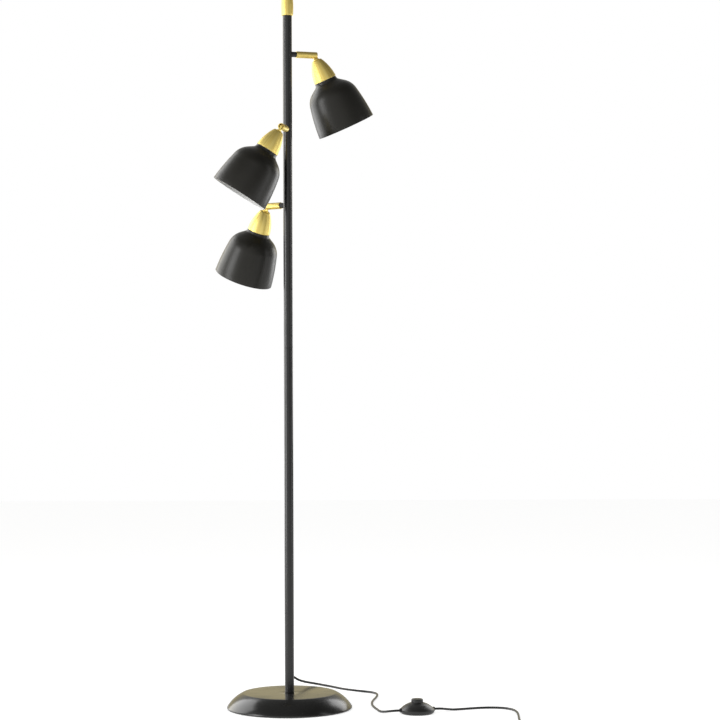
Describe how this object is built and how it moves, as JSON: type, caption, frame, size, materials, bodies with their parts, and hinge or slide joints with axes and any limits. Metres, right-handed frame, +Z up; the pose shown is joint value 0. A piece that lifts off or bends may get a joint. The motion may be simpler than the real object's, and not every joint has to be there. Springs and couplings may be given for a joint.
{
  "type": "tree floor lamp",
  "caption": "Floor lamp with a weighted round base, a slim straight pole and dark bell shades on short brass arms that each swivel and tilt, with a foot switch on its flex.",
  "frame": {"origin": "on the floor, on the pole's axis, at the underside of the base pad", "axes": "+Z up along the pole; +X to the right and +Y to the back as seen in the picture, with the flex leaving the foot of the pole towards +Y"},
  "size_m": [0.6585, 0.5428, 1.55],
  "materials": {
    "satin_paint": "satin dark paint",
    "shade_paint": "satin dark paint outside, white enamel inside",
    "brushed_brass": "brushed along the axis, lacquered",
    "plain_steel": "zinc plated",
    "cast_weight": "as cast",
    "base_felt": "closed-cell foam sheet",
    "black_flex": "matte black jacket",
    "black_moulding": "matte",
    "core_insulation": "matte insulation",
    "holder_plastic": "heat-resisting, off-white",
    "opal_bulb": "opal white",
    "switch_plastic": "satin dark grey",
    "pin_metal": "nickel plated"
  },
  "bodies": {
    "stand": {"base_cover": "satin_paint", "pole_lower": "satin_paint", "pole_upper": "satin_paint", "arm_stub_1": "satin_paint", "arm_stub_2": "satin_paint", "arm_stub_3": "satin_paint", "finial": "brushed_brass", "base_plate": "plain_steel", "base_washer": "plain_steel", "base_bolt": "plain_steel", "foot_plug": "plain_steel", "pole_joiner": "plain_steel", "swivel_washers": "plain_steel", "swivel_nuts": "plain_steel", "switch_screws": "plain_steel", "switch_spring": "plain_steel", "base_weight": "cast_weight", "base_pad": "base_felt", "cord_to_switch": "black_flex", "cord_from_switch": "black_flex", "cord_coil": "black_flex", "cord_to_plug": "black_flex", "pole_wiring": "black_flex", "cord_boot": "black_moulding", "coil_tie": "black_moulding", "plug_body": "black_moulding", "switch_lower": "switch_plastic", "switch_upper": "switch_plastic", "plug_pins": "pin_metal"},
    "arm_1": {"arm_1": "brushed_brass", "pivot_pin_1": "plain_steel"},
    "head_1": {"knuckle_1": "brushed_brass", "cap_1": "brushed_brass", "knuckle_nut_1": "plain_steel", "head_wires_1": "core_insulation", "lamp_holder_1": "holder_plastic", "shade_ring_1": "holder_plastic", "shade_1": "shade_paint", "bulb_1": "opal_bulb"},
    "arm_2": {"arm_2": "brushed_brass", "pivot_pin_2": "plain_steel"},
    "head_2": {"knuckle_2": "brushed_brass", "cap_2": "brushed_brass", "knuckle_nut_2": "plain_steel", "head_wires_2": "core_insulation", "lamp_holder_2": "holder_plastic", "shade_ring_2": "holder_plastic", "shade_2": "shade_paint", "bulb_2": "opal_bulb"},
    "arm_3": {"arm_3": "brushed_brass", "pivot_pin_3": "plain_steel"},
    "head_3": {"knuckle_3": "brushed_brass", "cap_3": "brushed_brass", "knuckle_nut_3": "plain_steel", "head_wires_3": "core_insulation", "lamp_holder_3": "holder_plastic", "shade_ring_3": "holder_plastic", "shade_3": "shade_paint", "bulb_3": "opal_bulb"},
    "button": {"switch_button": "switch_plastic"}
  },
  "joints": [
    {"name": "swivel_1", "type": "hinge", "parent": "stand", "child": "arm_1", "pos_m": [0, 0, 1.43], "axis": [0.9397, 0.342, 0], "range_deg": [-70, 70]},
    {"name": "tilt_1", "type": "hinge", "parent": "arm_1", "child": "head_1", "pos_m": [0.05826, 0.02121, 1.43], "axis": [0.342, -0.9397, 0], "range_deg": [-20.7, 64.3]},
    {"name": "swivel_2", "type": "hinge", "parent": "stand", "child": "arm_2", "pos_m": [0, 0, 1.265], "axis": [-0.1736, -0.9848, 0], "range_deg": [-38, 102]},
    {"name": "tilt_2", "type": "hinge", "parent": "arm_2", "child": "head_2", "pos_m": [-0.01077, -0.06106, 1.265], "axis": [-0.8352, 0.1473, 0.5299], "range_deg": [-1.3, 83.7]},
    {"name": "swivel_3", "type": "hinge", "parent": "stand", "child": "arm_3", "pos_m": [0, 0, 1.1], "axis": [-0.766, 0.6428, 0], "range_deg": [-70, 70]},
    {"name": "tilt_3", "type": "hinge", "parent": "arm_3", "child": "head_3", "pos_m": [-0.0475, 0.03985, 1.1], "axis": [0.6428, 0.766, 0], "range_deg": [-19.7, 65.3]},
    {"name": "button_press", "type": "slide", "parent": "stand", "child": "button", "axis": [0, 0, 1], "range_m": [-0.0035, 0], "stiffness_N_per_m": 1500, "springref_m": 0.001, "deforming": ["switch_spring"]}
  ]
}
